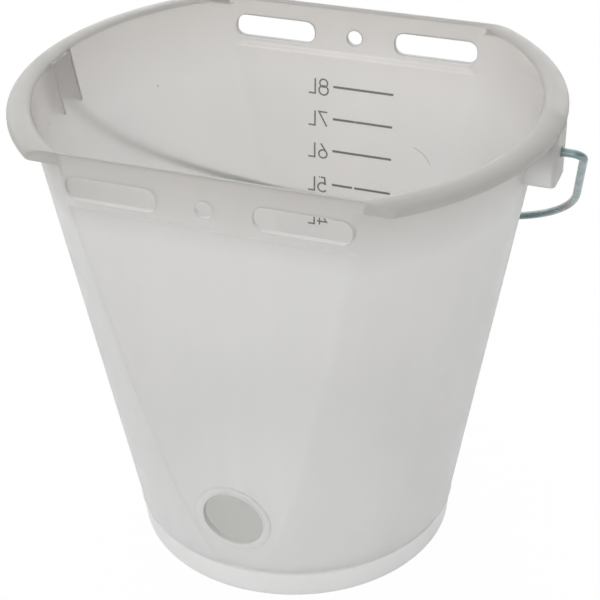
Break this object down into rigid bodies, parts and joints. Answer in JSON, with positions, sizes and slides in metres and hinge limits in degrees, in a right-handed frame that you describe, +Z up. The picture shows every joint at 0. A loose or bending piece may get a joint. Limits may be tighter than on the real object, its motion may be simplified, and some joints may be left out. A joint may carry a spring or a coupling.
{
  "type": "calf feeding bucket",
  "caption": "Translucent tapered calf feeding bucket with flat front and back panels, slotted bands for a hanging bracket, a teat hole low in front, ears under the rim and a swinging wire bail.",
  "frame": {"origin": "on the bucket's vertical axis, at the underside of the foot ring", "axes": "+Z up, +X along the line through the two ears, -Y towards the front panel with the teat hole, +Y towards the back panel"},
  "size_m": [0.325, 0.2284, 0.28],
  "materials": {
    "body": "satin, translucent",
    "wire": "zinc plated"
  },
  "bodies": {
    "bucket": {"bucket_body": "body"},
    "bail": {"wire_bail": "wire"}
  },
  "joints": [
    {"name": "bail_swing", "type": "hinge", "parent": "bucket", "child": "bail", "pos_m": [0, 0, 0.2624], "axis": [1, 0, 0], "range_deg": [0, 270.4]}
  ]
}
